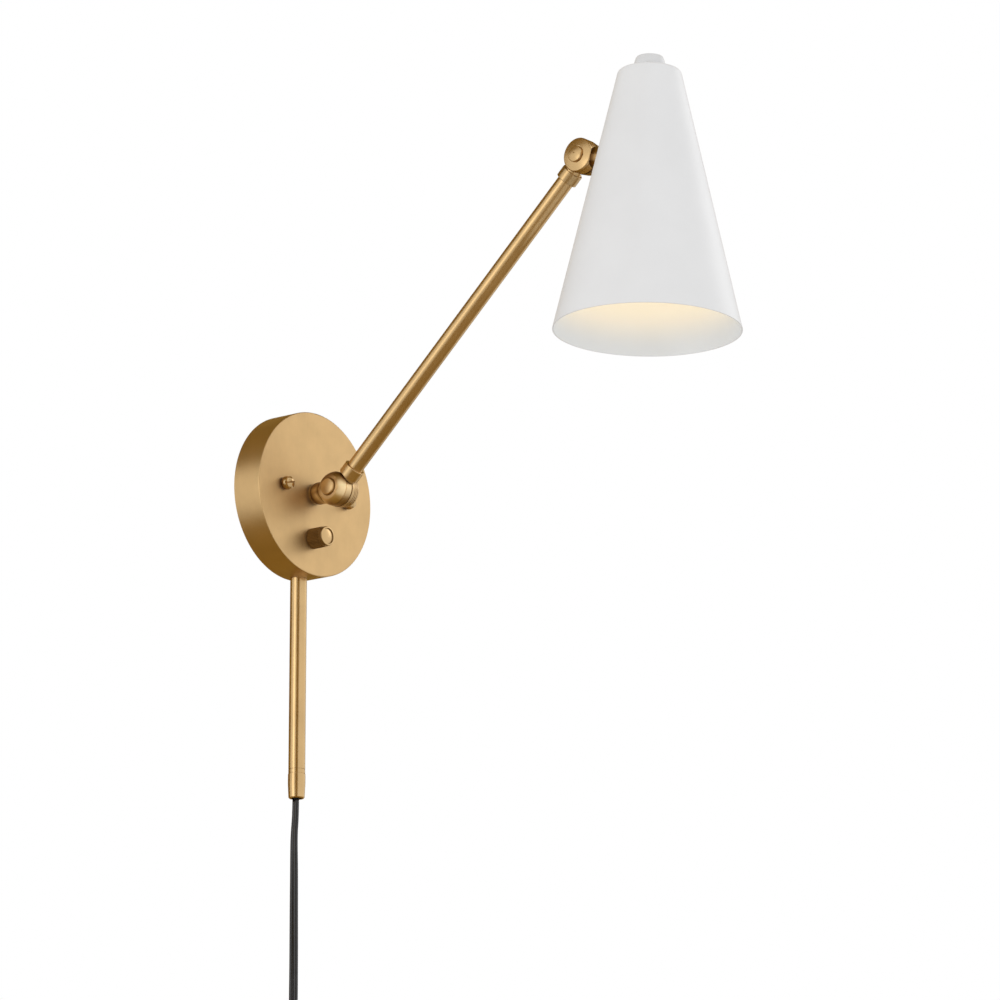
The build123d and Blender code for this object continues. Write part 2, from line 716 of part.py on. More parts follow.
with BuildPart() as bulb_globe:
    add(bulb_solid(0.0).part)
    add(bulb_solid(bulb_glass_t).part, mode=Mode.SUBTRACT)
save(bulb_globe, "bulb_globe", swings=True)

# Lead from the head pipe up into the holder cap
lead_start = high_pivot + shade_wall_dir * (head_pipe_end - 6.0)
lead_turn = high_pivot + shade_wall_dir * (head_pipe_end + 3.6)
lead_top_z = holder_top_z - 9.0
with BuildPart() as head_lead:
    with BuildLine() as route:
        FilletPolyline((0, lead_start.Y, lead_start.Z), (0, lead_turn.Y, lead_turn.Z),
                       (0, lead_turn.Y, lead_top_z), (0, holder_cap_d / 2 - shade_reach - 3.0, lead_top_z),
                       radius=3.4)
    with BuildSketch(along(lead_start, shade_wall_dir)):
        Circle(lead_d / 2 - 0.4)
    sweep(path=route.line)
save(head_lead, "head_lead", swings=True)

# Dimmer in the canopy: body, threaded bush, nut, shaft and knob
dimmer_front = canopy_inside - face_gap
with BuildPart() as dimmer_case:
    with BuildSketch(face_plane(dimmer_back, dimmer_x, dimmer_z)):
        RectangleRounded(dimmer_body, dimmer_body, 2.0)
    extrude(amount=dimmer_front - dimmer_back)
    with BuildSketch(face_plane(dimmer_front - 5.0, dimmer_x, dimmer_z)):
        Circle(dimmer_bush_d / 2 + slip_fit)
    extrude(amount=5.0, mode=Mode.SUBTRACT)
save(dimmer_case, "dimmer_case")
bush_back = dimmer_front - 5.0 + face_gap
bush_front = canopy_depth + dimmer_nut_t + 0.8
dimmer_bush = ring_on(face_plane(bush_back, dimmer_x, dimmer_z), dimmer_bush_d,
                      dimmer_shaft_d + 2 * running_fit, bush_front - bush_back)
save(dimmer_bush, "dimmer_bush")
dimmer_nut = hex_nut(face_plane(canopy_depth + face_gap, dimmer_x, dimmer_z), dimmer_nut_flats,
                     dimmer_bush_d + 2 * slip_fit, dimmer_nut_t)
save(dimmer_nut, "dimmer_nut")
knob_foot = canopy_depth + 0.4
knob_tip = knob_foot + knob_length
shaft_end = knob_tip - 3.0
with BuildPart() as dimmer_shaft:
    with BuildSketch(face_plane(bush_back + 0.4, dimmer_x, dimmer_z)):
        Circle(dimmer_shaft_d / 2)
    extrude(amount=shaft_end - bush_back - 0.4)
save(dimmer_shaft, "dimmer_shaft")
ridge_r = knob_d / 2 - knob_ridge_depth
with BuildPart() as dimmer_knob:
    with BuildSketch(face_plane(knob_foot, dimmer_x, dimmer_z)):
        with BuildLine():
            ridge_points = []
            for step in range(2 * knob_ridges):
                turn = pi * step / knob_ridges
                reach = knob_d / 2 if step % 2 else ridge_r
                ridge_points.append((reach * cos(turn), reach * sin(turn)))
            Polyline(*ridge_points, close=True)
        make_face()
    extrude(amount=knob_length - knob_head)
    head = Plane(origin=(dimmer_x, knob_head - knob_tip, dimmer_z), x_dir=(1, 0, 0), z_dir=(0, 0, -1))
    dish_r = ridge_r - knob_edge_r - knob_rim_w
    floor = knob_head - knob_dish
    with BuildSketch(head):
        with BuildLine():
            wall = Polyline((0, -0.3), (ridge_r, -0.3), (ridge_r, knob_head - knob_edge_r))
            bend = knob_edge_r * sqrt(0.5)
            edge_x = ridge_r - knob_edge_r
            knee = (edge_x + bend, knob_head - knob_edge_r + bend)
            edge = ThreePointArc(wall @ 1, knee, (edge_x, knob_head))
            dish = Polyline(edge @ 1, (dish_r, knob_head), (dish_r - 0.3, floor))
            crown = dome_arc(dish_r - 0.3, floor, floor + knob_crown)
            Line(crown @ 1, wall @ 0)
        make_face()
    revolve(axis=Axis(head.origin, (0, -1, 0)))
    with BuildSketch(face_plane(knob_foot, dimmer_x, dimmer_z)):
        Circle(dimmer_nut_flats * 0.6 + 0.4)
    extrude(amount=dimmer_nut_t + 0.9, mode=Mode.SUBTRACT)
    with BuildSketch(face_plane(knob_foot, dimmer_x, dimmer_z)):
        Circle(dimmer_shaft_d / 2 + slip_fit)
    extrude(amount=shaft_end - knob_foot + face_gap, mode=Mode.SUBTRACT)
save(dimmer_knob, "dimmer_knob")

# Lead from the dimmer to the swivel pipe
with BuildPart() as post_lead:
    with BuildLine() as route:
        FilletPolyline((0, -pipe_front + 4.0, 0), (0, -8.0, 0),
                       (0, -8.0, dimmer_z + dimmer_body / 2 + face_gap), radius=4.5)
    with BuildSketch(Plane(origin=(0, -pipe_front + 4.0, 0), x_dir=(1, 0, 0), z_dir=(0, 1, 0))):
        Circle(lead_d / 2)
    sweep(path=route.line)
save(post_lead, "post_lead")


def drop_plane(z):
    """A level plane on the axis of the cord tube."""
    return Plane(origin=(0, drop_y, z), x_dir=(1, 0, 0), z_dir=(0, 0, 1))


# Cord tube: saddled to the canopy's edge and held by a pipe and a nut
with BuildPart() as cord_tube:
    with BuildSketch(drop_plane(drop_end_z)):
        Circle(drop_d / 2)
        Circle(drop_d / 2 - drop_wall, mode=Mode.SUBTRACT)
    extrude(amount=-drop_end_z - canopy_r + 3.0)
    with BuildSketch(face_plane(-1.0)):
        Circle(canopy_r + face_gap)
    extrude(amount=canopy_depth, mode=Mode.SUBTRACT)
save(cord_tube, "cord_tube")
drop_nut_z = -sqrt((canopy_r - canopy_wall) ** 2 - nut_flats**2 / 3) + face_gap
drop_pipe_low = -canopy_r - 9.0
drop_pipe_top = drop_nut_z + nut_t + 1.5
drop_pipe = ring_on(drop_plane(drop_pipe_low), pipe_d, pipe_bore, drop_pipe_top - drop_pipe_low)
save(drop_pipe, "drop_pipe")
drop_nut = hex_nut(drop_plane(drop_nut_z), nut_flats, nut_bore, nut_t)
save(drop_nut, "drop_nut")

# Ferrule on the end of the tube, with a rubber bush for the cord
ferrule_top = drop_end_z - face_gap
band_low = ferrule_top - ferrule_band
groove_r = drop_d / 2 - groove_depth
ferrule_low = drop_end_z - ferrule_length
drop_axis = Axis((0, drop_y, 0), (0, 0, 1))
ferrule_section = Plane(origin=(0, drop_y, 0), x_dir=(1, 0, 0), z_dir=(0, -1, 0))
with BuildPart() as cord_ferrule:
    with BuildSketch(ferrule_section):
        with BuildLine():
            Polyline((0, ferrule_top), (groove_r, ferrule_top), (groove_r, ferrule_top - groove_w),
                     (drop_d / 2, ferrule_top - groove_w), (drop_d / 2, band_low), (groove_r, band_low),
                     (groove_r, band_low - groove_w), (ferrule_d / 2, band_low - groove_w),
                     (ferrule_d / 2, band_low - 8.0), (ferrule_mouth_d / 2, ferrule_low + 0.8),
                     (ferrule_mouth_d / 2 - 0.7, ferrule_low), (0, ferrule_low), close=True)
        make_face()
    revolve(axis=drop_axis)
    with BuildSketch(drop_plane(ferrule_top)):
        Circle(drop_d / 2 - drop_wall - slip_fit)
    extrude(amount=7.0)
    with BuildSketch(drop_plane(ferrule_low)):
        Circle(ferrule_mouth_d / 2 - 1.5)
    extrude(amount=ferrule_top + 7.0 - ferrule_low, mode=Mode.SUBTRACT)
save(cord_ferrule, "cord_ferrule")
cord_x = cord_start[0]
with BuildPart() as cord_bush:
    with BuildSketch(drop_plane(ferrule_low + 1.0)):
        Circle(ferrule_mouth_d / 2 - 1.5 - slip_fit)
        with Locations((cord_x, 0)):
            SlotOverall(cord_w + 0.2, cord_t + 0.2, rotation=cord_exit_turn, mode=Mode.SUBTRACT)
    extrude(amount=bush_length)
save(cord_bush, "cord_bush")

# Cord inside the tube, up to the dimmer
with BuildPart() as cord_in_tube:
    with BuildSketch(drop_plane(cord_start[1])):
        with Locations((cord_x, 0)):
            SlotOverall(cord_w, cord_t, rotation=cord_exit_turn)
    extrude(amount=dimmer_z - dimmer_body / 2 - face_gap - cord_start[1])
save(cord_in_tube, "cord_in_tube")

# Free cord below the ferrule: straight runs with arcs as large as they allow
route_points = [cord_start] + cord_points
route_radii = []
for before, corner, after in zip(route_points, route_points[1:], route_points[2:]):
    run_in = Vector(corner[0] - before[0], corner[1] - before[1])
    run_out = Vector(after[0] - corner[0], after[1] - corner[1])
    half_turn = radians(run_in.get_angle(run_out)) / 2
    route_radii.append(0.45 * min(run_in.length, run_out.length) / tan(half_turn))
print("free cord radii", [round(r) for r in route_radii])
with BuildPart() as cord:
    with BuildLine() as route:
        FilletPolyline(*[(x, drop_y, z) for x, z in route_points], radius=route_radii)
    first = Vector(route_points[1][0] - cord_x, 0, route_points[1][1] - cord_start[1]).normalized()
    with BuildSketch(Plane(origin=(cord_x, drop_y, cord_start[1]), x_dir=(0, 1, 0), z_dir=first)):
        SlotOverall(cord_w, cord_t)
    sweep(path=route.line)
save(cord, "cord")
section_area = cord_t * (cord_w - cord_t) + pi * cord_t**2 / 4
free_length = route.wire().length
print("free cord length", round(free_length, 1), "by volume", round(cord.part.volume / section_area, 1))

# Coil: the lead bends into the top of a ring, spirals in, changes layer, spirals out and leaves for the plug
cord_end = route_points[-1]
bend_top = cord_end[1] - cord_w
entry_angle = degrees(asin(coil_entry_bend_r / (coil_outer_r + coil_entry_bend_r)))
coil_x = cord_end[0]
coil_z = bend_top - (coil_outer_r + coil_entry_bend_r) * cos(radians(entry_angle))
total_angle = 360.0 * coil_turns + coil_exit_angle - entry_angle
turn_back = total_angle / 2
steps = ceil(total_angle / 90)


def coil_place(angle):
    """Middle of the cord after that many degrees of winding."""
    r = coil_outer_r - coil_pitch * (turn_back - abs(angle - turn_back)) / 360
    climb = min(max((angle - turn_back + 90) / 180, 0), 1)
    y = drop_y - coil_layer * climb * climb * (3 - 2 * climb)
    around = radians(entry_angle + angle)
    return Vector(coil_x + r * sin(around), y, coil_z + r * cos(around))


def coil_heading(angle):
    """Unit tangent there; the ends run square to the ring's radius."""
    if angle <= 0 or angle >= total_angle:
        around = radians(entry_angle + angle)
        return Vector(cos(around), 0, -sin(around))
    return (coil_place(angle + 0.5) - coil_place(angle - 0.5)).normalized()


def biarc(start, start_dir, end, end_dir):
    """Two tangent arcs between two places with given headings, as point triples."""
    chord = end - start
    both = start_dir + end_dir
    a = 2 * (1 - start_dir.dot(end_dir))
    b = 2 * chord.dot(both)
    c = -chord.dot(chord)
    d = (-b + sqrt(b * b - 4 * a * c)) / (2 * a)
    joint = (start + end + (start_dir - end_dir) * d) * 0.5
    triples = []
    for first, heading, last in ((start, start_dir, joint), (joint, end_dir, end)):
        knee = first + heading * d if first is start else end - end_dir * d
        middle = (first + last) * 0.5
        rise = (knee - middle).length
        half = (last - first).length / 2
        arc_r = half * sqrt(half * half + rise * rise) / rise
        bulge = arc_r - sqrt(arc_r * arc_r - half * half)
        triples.append((first, middle + (knee - middle).normalized() * bulge, last))
    return triples


marks = [total_angle * i / steps for i in range(steps + 1)]
exit_dir = coil_heading(total_angle)
exit_point = coil_place(total_angle)
run_end = exit_point + exit_dir * coil_exit_run
bend_side = Vector(-exit_dir.Z, 0, exit_dir.X) * -1
swing = radians(90 - coil_exit_angle)


def exit_bend(turn):
    """Place on the last bend, after that much turning."""
    return run_end + (exit_dir * sin(turn) + bend_side * (1 - cos(turn))) * coil_exit_bend_r


def entry_bend(turn):
    """Place on the bend from the hanging cord into the ring, after that much turning."""
    return Vector(coil_x, drop_y, bend_top) + Vector(1 - cos(turn), 0, -sin(turn)) * coil_entry_bend_r


bend_end = exit_bend(swing)
cord_tip = bend_end + Vector(0, 0, -coil_end_run)
with BuildPart() as cord_coil:
    with BuildLine() as winding:
        Line((coil_x, drop_y, cord_end[1]), (coil_x, drop_y, bend_top))
        ThreePointArc(entry_bend(0), entry_bend(radians(90 - entry_angle) / 2), coil_place(0))
        for low, high in zip(marks, marks[1:]):
            for triple in biarc(coil_place(low), coil_heading(low), coil_place(high), coil_heading(high)):
                ThreePointArc(*triple)
        Line(exit_point, run_end)
        ThreePointArc(run_end, exit_bend(swing / 2), bend_end)
        Line(bend_end, cord_tip)
    with BuildSketch(Plane(origin=(coil_x, drop_y, cord_end[1]), x_dir=(0, 1, 0), z_dir=(0, 0, -1))):
        SlotOverall(cord_w, cord_t)
    sweep(path=winding.wire())
save(cord_coil, "cord_coil")
coil_length = winding.wire().length
print("coil length", round(coil_length, 1), "by volume", round(cord_coil.part.volume / section_area, 1))
print("cord length", round(free_length + coil_length, 1), "of", cord_length)
spread = (cord_w - cord_t) / 2
samples = [coil_place(angle) for angle in range(0, int(total_angle), 3)]
least_gap = canopy_d
for i, one in enumerate(samples):
    for other in samples[i + 60:]:
        across = Vector(one.X - other.X, 0, one.Z - other.Z).length
        beside = max(abs(one.Y - other.Y) - 2 * spread, 0)
        least_gap = min(least_gap, sqrt(across**2 + beside**2) - cord_t)
print("least gap in the coil", round(least_gap, 2))

# Strap that ties the coil on its left
inner_r = coil_outer_r - coil_pitch * turn_back / 360 - cord_t / 2 - tie_gap
outer_r = coil_outer_r + cord_t / 2 + tie_gap
tie_front = drop_y + cord_w / 2 + tie_gap
tie_back = drop_y - coil_layer - cord_w / 2 - tie_gap
with BuildPart() as cord_tie:
    with BuildSketch(Plane.XY.offset(coil_z - tie_w / 2)):
        with Locations((coil_x - (inner_r + outer_r) / 2, (tie_front + tie_back) / 2)):
            RectangleRounded(outer_r - inner_r + 2 * tie_t, tie_front - tie_back + 2 * tie_t, 3.0)
            RectangleRounded(outer_r - inner_r, tie_front - tie_back, 2.0, mode=Mode.SUBTRACT)
    extrude(amount=tie_w)
save(cord_tie, "cord_tie")

# Plug: tapered strain relief, flat body and two blades
relief_low = cord_tip.Z - plug_relief_l
body_low = relief_low - plug_body_l


def plug_plane(z):
    """A level plane on the plug's axis, across the cord's wide side."""
    return Plane(origin=(cord_tip.X, cord_tip.Y, z), x_dir=(0, 1, 0), z_dir=(0, 0, -1))


with BuildPart() as plug_body:
    with BuildSketch(plug_plane(cord_tip.Z)):
        SlotOverall(cord_w + 2.0, cord_t + 2.0)
    with BuildSketch(plug_plane(relief_low)):
        SlotOverall(plug_body_w * 0.62, plug_body_t * 0.7)
    loft()
    with BuildSketch(plug_plane(relief_low)):
        SlotOverall(plug_body_w * 0.62, plug_body_t * 0.7)
    with BuildSketch(plug_plane(relief_low - plug_body_l * 0.4)):
        SlotOverall(plug_body_w, plug_body_t)
    loft()
    with BuildSketch(plug_plane(relief_low - plug_body_l * 0.4)):
        SlotOverall(plug_body_w, plug_body_t)
    extrude(amount=plug_body_l * 0.6)
    fillet(plug_body.faces().sort_by(Axis.Z)[0].edges(), 0.8)
    with BuildSketch(plug_plane(body_low + 10.0)):
        with Locations((-blade_spacing / 2, 0), (blade_spacing / 2, 0)):
            Rectangle(blade_t + 0.1, blade_w + 0.1)
    extrude(amount=10.5, mode=Mode.SUBTRACT)
save(plug_body, "plug_body")
with BuildPart() as plug_blades:
    with BuildSketch(plug_plane(body_low + 9.9)):
        with Locations((-blade_spacing / 2, 0), (blade_spacing / 2, 0)):
            Rectangle(blade_t, blade_w)
    extrude(amount=blade_l + 9.9)
save(plug_blades, "plug_blades")
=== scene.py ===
"""Looks of the plug-in swing arm wall sconce.

Satin brass, white paint, a lit bulb, a flat twin cord and the studio.
"""
from math import cos, radians, sin

import bmesh
import bpy
from mathutils import Matrix, Vector


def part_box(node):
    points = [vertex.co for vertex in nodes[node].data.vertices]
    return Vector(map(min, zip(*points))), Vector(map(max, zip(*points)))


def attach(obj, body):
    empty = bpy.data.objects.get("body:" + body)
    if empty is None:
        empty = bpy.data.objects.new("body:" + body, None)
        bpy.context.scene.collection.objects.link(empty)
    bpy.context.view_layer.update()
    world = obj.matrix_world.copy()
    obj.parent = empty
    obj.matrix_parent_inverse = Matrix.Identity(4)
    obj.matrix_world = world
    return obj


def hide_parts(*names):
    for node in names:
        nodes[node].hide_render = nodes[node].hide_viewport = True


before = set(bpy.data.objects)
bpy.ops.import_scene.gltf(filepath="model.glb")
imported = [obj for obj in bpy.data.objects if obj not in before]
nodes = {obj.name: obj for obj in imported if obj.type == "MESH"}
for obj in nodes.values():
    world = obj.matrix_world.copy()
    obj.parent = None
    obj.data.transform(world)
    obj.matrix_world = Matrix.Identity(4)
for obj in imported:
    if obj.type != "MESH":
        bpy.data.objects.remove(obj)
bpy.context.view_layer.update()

MM = 0.001

# Camera that took the picture: where it stands, where it looks and how long its lens is
CAMERA_PLACE = Vector((-2.72312, -2.47634, -0.88602))
CAMERA_AZIMUTH = radians(-50.21)
CAMERA_PITCH = radians(13.54)
CAMERA_LENS = 178.07
SENSOR = 36.0
CAMERA_REACH = 50.0

# Cord, in metres
CORD_WIDTH = 7.1 * MM
CORD_THICK = 3.6 * MM
CORD_Y = -9.0 * MM

# Cord's route, with the solid's corners: X and Z in millimetres, and the coil in millimetres and degrees
CORD_EXIT = (-0.8, -233.0)
CORD_POINTS = [(-0.8, -246.0), (-2.4, -262.0), (-1.9, -286.0), (-1.7, -320.0), (-1.3, -356.0), (-1.3, -392.0)]
COIL_LEAD = [(-1.3, -408.0), (8.7, -423.3)]
COIL_X = -1.3
COIL_Z = -470.9
COIL_START = 22.7
COIL_OUTER_R = 47.8
COIL_PITCH = 4.8
COIL_LAYER = 7.8
COIL_TURN = 2187.3
COIL_STEPS = 109
COIL_EXIT_ANGLE = 50.0
COIL_EXIT_KNEE = 29.6
COIL_EXIT_DROP = 21.6

# Which way the cord's wide side points, as an angle from +X, after so many millimetres
CORD_TURNS = [(0, 66.0), (14, 69.0), (33, 77.0), (51, 84.0), (88, 93.0), (150, 107.0), (168, 90.0)]

# Cord's mesh: resolution of its curve, points on one wire and their reach either way in degrees
CORD_RESOLUTION = 6
WIRE_POINTS = 12
WIRE_TURN = 160

# Colours, linear
BRASS = (0.63, 0.425, 0.202)
PLAIN_BRASS = (0.72, 0.50, 0.22)
ZINC = (0.60, 0.61, 0.63)
NICKEL = (0.62, 0.62, 0.60)
WHITE = (0.80, 0.80, 0.803)
OPAL_LOW = (0.93, 0.90, 0.84)
OPAL_HIGH = (0.97, 0.95, 0.90)
SLEEVE = (0.70, 0.69, 0.65)
BLACK = (0.012, 0.012, 0.013)
FABRIC = (0.02, 0.02, 0.02)
NYLON = (0.03, 0.03, 0.03)
PHENOLIC = (0.02, 0.018, 0.016)
WARM = (1.0, 0.74, 0.32)
CARD_BROWN = (0.30, 0.19, 0.03)
FLOOR_GREY = (0.85, 0.85, 0.85)

# How far a colour strays from itself in the soft clouds over brass and paint, and where a cloud is full
BRASS_STRAY = (0.94, 1.05)
PAINT_STRAY = (0.985, 1.01)
CLOUD_EDGES = (0.3, 0.7)

# Noise repeats per metre along each axis: clouds, and brush marks that run along or round a piece
BRASS_CLOUD = (55, 55, 55)
PAINT_CLOUD = (30, 30, 30)
PLAIN_CLOUD = (90, 90, 90)
GLOBE_CLOUD = (60, 60, 60)
PAINT_PEEL = (900, 900, 900)
CANOPY_MARKS = (1500, 1500, 45)
TURNED_MARKS = (1300, 160, 160)
SMALL_MARKS = (500, 1500, 500)
ARM_MARKS = (900, 40, 900)
DROP_MARKS = (900, 900, 40)

# Turn that lays the arm along Y
ARM_TURN = (radians(42.75), 0, 0)

# Relief of the marks: strength of a fine brush, and heights in metres
FINE_BRUSH = 0.05
MARK_HEIGHT = 0.08 * MM
PEEL_HEIGHT = 0.06 * MM

# Roughness: the range of each brass, what the canopy's face adds, the spread elsewhere, and a matt surface
SATIN_GLOSS = (0.25, 0.37)
TURNED_GLOSS = (0.25, 0.31)
CANOPY_GLOSS = (0.31, 0.43)
POST_GLOSS = (0.34, 0.44)
SCREW_GLOSS = (0.16, 0.26)
ARM_GLOSS = (0.27, 0.33)
DROP_GLOSS = (0.18, 0.28)
FACE_DULL = 0.08
GLOSS_SPREAD = 0.06
MATT = 0.9

# Knurl's share of the knob's colour, which paints the shade of its grooves, and the Y of a normal at which a
# side ends and a face begins
KNURL_DARK = 0.42
FRONT_EDGE = 0.35
FRONT_FACE = 0.8

# Painted shade and painted light on the brass, in its corners, over and under the knuckle and as highlights:
# stops of a length in millimetres and a share of the colour, where under 1 is painted shade and over 1 is
# painted light
POST_SHADE_AND_LIGHT = [(6.5, 0.3), (7.4, 1.28), (12.9, 1.28), (13.4, 0.5), (16.0, 1.5), (19.0, 1.35), (22.0, 0.35)]
POST_TOP = [(-13.0, 0.7), (-9.0, 1.1), (-2.5, 1.3), (2.5, 0.65), (4.5, 0.75), (8.0, 0.35), (13.0, 0.25)]
POST_UNDER = [(13.5, 1.0), (17.5, 0.45)]
COLLAR_SHADOW = [(9.5, 0.6), (11.0, 0.75), (13.5, 1.0)]
SCREW_SHADOW = [(13.0, 0.25), (15.0, 0.4), (16.8, 1.0)]
HEAD_SHADOW = [(12.7, 0.85), (13.3, 0.15), (15.5, 0.3), (18.5, 0.75), (25.0, 0.8)]

# Powers of a share for red, green and blue, so that brass under painted shade is browner
BROWN_POWERS = (1, 1.25, 1.6)

# Directions and axes along which the painted shade and light are measured
TOP_BACK = (0, 0.25, 0.97)
UNDER_BACK = (0, 0.7, -0.7)
FORWARD = (0, -1, 0)
ROUND_PIVOT = (0, 1, 1)
ALL_AXES = (1, 1, 1)

# The bulb's light painted on the inside of the shade as a glow: its strength, the painted fill at the rim,
# the heights over the rim where it starts and is full, and how far towards the axis a face has to look to be
# inside
GLOW = 0.27
RIM_FILL = (0.0, 0.035, 0.075)
GLOW_START = 4 * MM
GLOW_FULL = 36 * MM
INSIDE_LIMIT = -5 * MM

# Studio, in metres: strength of the soft light, and height and half the width of the floor
AMBIENT = 0.95
FLOOR_HEIGHT = -1.6
FLOOR_HALF = 6.0

# Lamps: name, place, the point they face, size and watts
LAMPS = [
    ("key", (2.3, -1.0, 1.2), (0, -0.2, 0.1), 1.2, 4.5),
    ("strip", (-2.05, 0.2, 0.1), (0, -0.1, 0.0), 0.8, 2.5),
]

# Cards: name, place, the way they face and size
CARDS = [
    ("card_below", (0, 1.0, -1.3), (0, 0, 1), 4.4),
    ("card_above", (0, 1.2, 1.7), (0, 0, -1), 4.4),
    ("card_behind", (1.2, 1.5, 0.1), (-0.5, -1.0, 0), 4.2),
    ("card_left", (-0.42, 1.96, 0.0), (0.2, -0.98, 0), 1.6),
    ("card_camera", (-1.5, -1.24, 0.1), (0.77, 0.64, 0), 1.2),
]


class Shader:
    """A short way to write a node material."""

    def __init__(self, name):
        self.material = bpy.data.materials.new(name)
        self.material.use_nodes = True
        self.tree = self.material.node_tree
        self.bsdf = self.tree.nodes["Principled BSDF"]

    def node(self, kind, **values):
        made = self.tree.nodes.new(kind)
        for key, value in values.items():
            if key in made.inputs:
                made.inputs[key].default_value = value
            else:
                setattr(made, key, value)
        return made

    def link(self, source, target):
        self.tree.links.new(source, target)

    def set(self, **values):
        for key, value in values.items():
            name = key.replace("_", " ")
            self.bsdf.inputs[name].default_value = (*value, 1) if isinstance(value, tuple) else value

    def place(self, scale, rotation=(0, 0, 0)):
        """The object's own coordinates, turned and stretched."""
        where = self.node("ShaderNodeTexCoord")
        turn = self.node("ShaderNodeMapping")
        turn.inputs["Rotation"].default_value = rotation
        stretch = self.node("ShaderNodeMapping")
        stretch.inputs["Scale"].default_value = scale
        self.link(where.outputs["Object"], turn.inputs["Vector"])
        self.link(turn.outputs["Vector"], stretch.inputs["Vector"])
        return stretch.outputs["Vector"]

    def noise(self, scale, rotation=(0, 0, 0), detail=3.0):
        made = self.node("ShaderNodeTexNoise", Scale=1.0, Detail=detail)
        self.link(self.place(scale, rotation), made.inputs["Vector"])
        return made.outputs["Fac"]

    def between(self, factor, low, high):
        """A number that runs from low to high with a factor."""
        made = self.node("ShaderNodeMapRange")
        made.inputs["To Min"].default_value = low
        made.inputs["To Max"].default_value = high
        self.link(factor, made.inputs["Value"])
        return made.outputs["Result"]

    def tint(self, factor, low, high):
        """Base colour between two with a factor."""
        made = self.node("ShaderNodeValToRGB")
        for stop, place, colour in zip(made.color_ramp.elements, CLOUD_EDGES, (low, high)):
            stop.position = place
            stop.color = (*colour, 1)
        self.link(factor, made.inputs["Fac"])
        self.link(made.outputs["Color"], self.bsdf.inputs["Base Color"])

    def bump(self, height, strength, distance):
        made = self.node("ShaderNodeBump", Strength=strength, Distance=distance)
        self.link(height, made.inputs["Height"])
        self.link(made.outputs["Normal"], self.bsdf.inputs["Normal"])


def scaled(colour, factor):
    return tuple(c * factor for c in colour)


def satin_brass(name, streak, rotation=(0, 0, 0), depth=1.0, gloss=SATIN_GLOSS, brush=0.16):
    """Brushed satin brass; streak is how often its marks repeat along each axis of the turned frame."""
    made = Shader(name)
    made.set(Metallic=1.0)
    cloud = made.noise(BRASS_CLOUD, detail=4)
    made.tint(cloud, *(scaled(BRASS, stray * depth) for stray in BRASS_STRAY))
    marks = made.noise(streak, rotation, detail=2)
    made.link(made.between(marks, *gloss), made.bsdf.inputs["Roughness"])
    made.bump(marks, brush, MARK_HEIGHT)
    return made


def front_share(made, low, high):
    """From low on the sides of a round piece to high on its face, which looks along Y."""
    where = made.node("ShaderNodeTexCoord")
    split = made.node("ShaderNodeSeparateXYZ")
    made.link(where.outputs["Normal"], split.inputs["Vector"])
    face = made.node("ShaderNodeMath", operation="ABSOLUTE")
    made.link(split.outputs["Y"], face.inputs[0])
    level = made.node("ShaderNodeMapRange")
    level.inputs["From Min"].default_value = FRONT_EDGE
    level.inputs["From Max"].default_value = FRONT_FACE
    level.inputs["To Min"].default_value = low
    level.inputs["To Max"].default_value = high
    made.link(face.outputs["Value"], level.inputs["Value"])
    return level.outputs["Result"]


def darken(made, share):
    """Multiplies a brass's colour by a share, which may be a number or a colour, and may be over 1."""
    colour = made.bsdf.inputs["Base Color"].links[0].from_socket
    darker = made.node("ShaderNodeVectorMath", operation="MULTIPLY")
    made.link(colour, darker.inputs[0])
    made.link(share, darker.inputs[1])
    made.link(darker.outputs["Vector"], made.bsdf.inputs["Base Color"])


def knurled_brass(name):
    """Satin brass with painted shade in the knurl of the knob's side, so it is darker than the face."""
    made = satin_brass(name, SMALL_MARKS)
    darken(made, front_share(made, KNURL_DARK, 1.0))
    return made


def canopy_brass(name):
    """Satin brass with a duller face than rim."""
    made = satin_brass(name, CANOPY_MARKS, gloss=CANOPY_GLOSS)
    rough = made.bsdf.inputs["Roughness"].links[0].from_socket
    duller = made.node("ShaderNodeMath", operation="ADD")
    made.link(rough, duller.inputs[0])
    made.link(front_share(made, 0.0, FACE_DULL), duller.inputs[1])
    made.link(duller.outputs["Value"], made.bsdf.inputs["Roughness"])
    return made


def turned_brass(name, depth=1.0, gloss=TURNED_GLOSS):
    """Satin brass with marks round the X axis, as on the knuckles."""
    return satin_brass(name, TURNED_MARKS, depth=depth, gloss=gloss, brush=FINE_BRUSH)


def offset_from(made, piece):
    """Where a point is, from a piece's middle."""
    low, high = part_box(piece)
    where = made.node("ShaderNodeTexCoord")
    offset = made.node("ShaderNodeVectorMath", operation="SUBTRACT")
    offset.inputs[1].default_value = [(a + b) / 2 for a, b in zip(low, high)]
    made.link(where.outputs["Object"], offset.inputs[0])
    return offset.outputs["Vector"]


def distance_from(made, piece, axes):
    """A point's distance from a piece's middle, along some axes."""
    across = made.node("ShaderNodeVectorMath", operation="MULTIPLY")
    across.inputs[1].default_value = axes
    made.link(offset_from(made, piece), across.inputs[0])
    far = made.node("ShaderNodeVectorMath", operation="LENGTH")
    made.link(across.outputs["Vector"], far.inputs[0])
    return far.outputs["Value"]


def height_over(made, piece, direction):
    """How far a point is from a piece's middle in one direction."""
    height = made.node("ShaderNodeVectorMath", operation="DOT_PRODUCT")
    height.inputs[1].default_value = direction
    made.link(offset_from(made, piece), height.inputs[0])
    return height.outputs["Value"]


